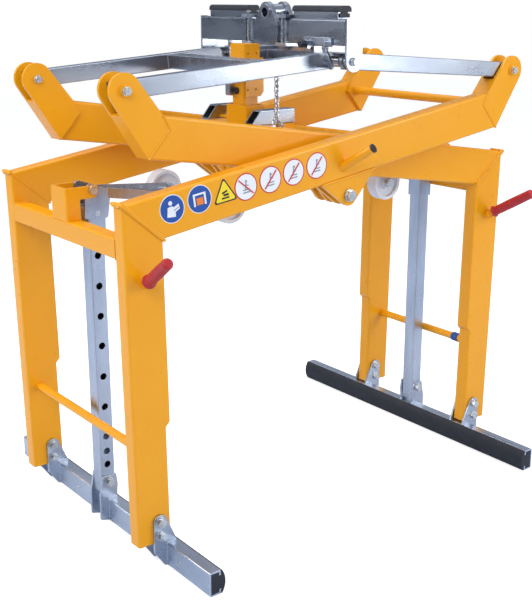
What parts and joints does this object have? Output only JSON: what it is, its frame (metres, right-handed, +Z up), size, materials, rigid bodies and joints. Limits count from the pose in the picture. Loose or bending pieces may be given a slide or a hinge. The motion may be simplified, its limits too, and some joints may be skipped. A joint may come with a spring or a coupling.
{
  "type": "scissor pack grab",
  "caption": "Scissor-action mechanical grab with rubber-faced parallel jaws, roller guides and a sliding lifting head, for packs of blocks or slabs.",
  "frame": {"origin": "on the ground midway between the jaws, below the scissor pivot", "axes": "X is the clamping direction, Y runs along the jaws, +Z is up"},
  "size_m": [1.6086, 1.2, 1.603],
  "materials": {
    "yellow_paint": "gloss powder coat",
    "zinc": "bright zinc plate",
    "bolt_zinc": "zinc-plated fasteners",
    "chain_steel": "zinc-plated chain",
    "black_rubber": "matt rubber",
    "black_plastic": "moulded plastic",
    "red_grip": "soft ribbed grip",
    "white_nylon": "cast nylon"
  },
  "bodies": {
    "centre": {"pivot_bolts": "bolt_zinc", "centre_bridge": "yellow_paint", "rest_tubes": "zinc", "latch_socket": "yellow_paint"},
    "arm_a": {"arm_a_legs": "yellow_paint", "arm_a_beams": "yellow_paint", "arm_a_plates": "yellow_paint", "arm_a_ears": "yellow_paint", "arm_a_cross_tube": "yellow_paint", "arm_a_round_bars": "yellow_paint", "arm_a_guide_bracket": "yellow_paint", "arm_a_ear_bolts": "bolt_zinc", "arm_a_handle": "yellow_paint", "arm_a_grip": "red_grip", "arm_a_side_handle": "yellow_paint", "arm_a_side_handle_plug": "black_plastic"},
    "arm_b": {"arm_b_legs": "yellow_paint", "arm_b_beams": "yellow_paint", "arm_b_plates": "yellow_paint", "arm_b_ears": "yellow_paint", "arm_b_cross_tube": "yellow_paint", "arm_b_round_bars": "yellow_paint", "arm_b_guide_bracket": "yellow_paint", "arm_b_ear_bolts": "bolt_zinc", "arm_b_handle": "yellow_paint", "arm_b_grip": "red_grip"},
    "jaw_left": {"jaw_left_rail": "zinc", "jaw_left_rubber": "black_rubber", "jaw_left_brackets": "zinc", "jaw_left_bolts": "bolt_zinc"},
    "strut_left": {"strut_left_tube": "zinc", "strut_left_sleeve": "zinc"},
    "guide_left": {"guide_left_frame": "zinc", "guide_left_pins": "bolt_zinc"},
    "roller_left_front": {"roller_left_front": "white_nylon"},
    "roller_left_back": {"roller_left_back": "white_nylon"},
    "link_left": {"link_left_frame": "zinc"},
    "jaw_right": {"jaw_right_rail": "zinc", "jaw_right_rubber": "black_rubber", "jaw_right_brackets": "zinc", "jaw_right_bolts": "bolt_zinc"},
    "strut_right": {"strut_right_tube": "zinc", "strut_right_sleeve": "zinc"},
    "guide_right": {"guide_right_frame": "zinc", "guide_right_pins": "bolt_zinc"},
    "roller_right_front": {"roller_right_front": "white_nylon"},
    "roller_right_back": {"roller_right_back": "white_nylon"},
    "link_right": {"link_right_frame": "zinc"},
    "chain": {"chain": "chain_steel"},
    "head": {"head_beams": "zinc", "head_end_plates": "zinc", "suspension_lugs": "zinc", "head_fasteners": "bolt_zinc", "head_clamp_plates": "zinc", "buffer_rails": "zinc", "buffers": "black_rubber", "latch_carrier": "zinc", "latch_housing": "yellow_paint", "black_stops": "black_plastic", "stop_bracket": "zinc"}
  },
  "joints": [
    {"name": "arm_a_close", "type": "hinge", "parent": "centre", "child": "arm_a", "pos_m": [0, 0, 1.03], "axis": [0, -1, 0], "range_deg": [0, 5]},
    {"name": "arm_b_close", "type": "hinge", "parent": "centre", "child": "arm_b", "pos_m": [0, 0, 1.03], "axis": [0, 1, 0], "range_deg": [0, 5]},
    {"name": "jaw_left_level", "type": "hinge", "parent": "arm_a", "child": "jaw_left", "pos_m": [-0.71475, 0, 0.14793], "axis": [0, 1, 0], "range_deg": [0, 5]},
    {"name": "guide_left_level", "type": "hinge", "parent": "arm_a", "child": "guide_left", "pos_m": [-0.71174, 0, 1.07807], "axis": [0, 1, 0], "range_deg": [0, 5]},
    {"name": "strut_left_lean", "type": "hinge", "parent": "jaw_left", "child": "strut_left", "pos_m": [-0.69, 0, 0.137], "axis": [0, -1, 0], "range_deg": [0, 5.41]},
    {"name": "roller_left_front_spin", "type": "hinge", "parent": "guide_left", "child": "roller_left_front", "pos_m": [-0.325, -0.184, 1.013], "axis": [0, 1, 0], "continuous": true},
    {"name": "roller_left_back_spin", "type": "hinge", "parent": "guide_left", "child": "roller_left_back", "pos_m": [-0.325, 0.184, 1.013], "axis": [0, 1, 0], "continuous": true},
    {"name": "jaw_right_level", "type": "hinge", "parent": "arm_b", "child": "jaw_right", "pos_m": [0.71475, 0, 0.14793], "axis": [0, -1, 0], "range_deg": [0, 5]},
    {"name": "guide_right_level", "type": "hinge", "parent": "arm_b", "child": "guide_right", "pos_m": [0.71174, 0, 1.07807], "axis": [0, -1, 0], "range_deg": [0, 5]},
    {"name": "strut_right_lean", "type": "hinge", "parent": "jaw_right", "child": "strut_right", "pos_m": [0.69, 0, 0.137], "axis": [0, 1, 0], "range_deg": [0, 5.41]},
    {"name": "roller_right_front_spin", "type": "hinge", "parent": "guide_right", "child": "roller_right_front", "pos_m": [0.325, -0.184, 1.013], "axis": [0, 1, 0], "continuous": true},
    {"name": "roller_right_back_spin", "type": "hinge", "parent": "guide_right", "child": "roller_right_back", "pos_m": [0.325, 0.184, 1.013], "axis": [0, 1, 0], "continuous": true},
    {"name": "link_right_swing", "type": "hinge", "parent": "arm_a", "child": "link_right", "pos_m": [0.73121, 0, 1.37824], "axis": [0, 1, 0], "range_deg": [0, 19.5]},
    {"name": "link_left_swing", "type": "hinge", "parent": "arm_b", "child": "link_left", "pos_m": [-0.73121, 0, 1.37824], "axis": [0, -1, 0], "range_deg": [0, 19.5]},
    {"name": "head_lift", "type": "slide", "parent": "centre", "child": "head", "axis": [0, 0, 1], "range_m": [0, 0.2452]},
    {"name": "chain_swing", "type": "hinge", "parent": "link_left", "child": "chain", "pos_m": [-0.17, -0.226, 1.3882], "axis": [0, 1, 0], "range_deg": [0, 14.5]}
  ],
  "couplings": [
    {"joint": "arm_b_close", "follows": "arm_a_close", "ratio": 1},
    {"joint": "jaw_left_level", "follows": "arm_a_close", "ratio": 1},
    {"joint": "guide_left_level", "follows": "arm_a_close", "ratio": 1},
    {"joint": "strut_left_lean", "follows": "arm_a_close", "ratio": 1.0725},
    {"joint": "jaw_right_level", "follows": "arm_a_close", "ratio": 1},
    {"joint": "guide_right_level", "follows": "arm_a_close", "ratio": 1},
    {"joint": "strut_right_lean", "follows": "arm_a_close", "ratio": 1.0725},
    {"joint": "link_right_swing", "follows": "arm_a_close", "ratio": 3.89},
    {"joint": "link_left_swing", "follows": "arm_a_close", "ratio": 3.89},
    {"joint": "head_lift", "follows": "arm_a_close", "m_per_rad": 2.804},
    {"joint": "chain_swing", "follows": "arm_a_close", "ratio": 2.89}
  ]
}
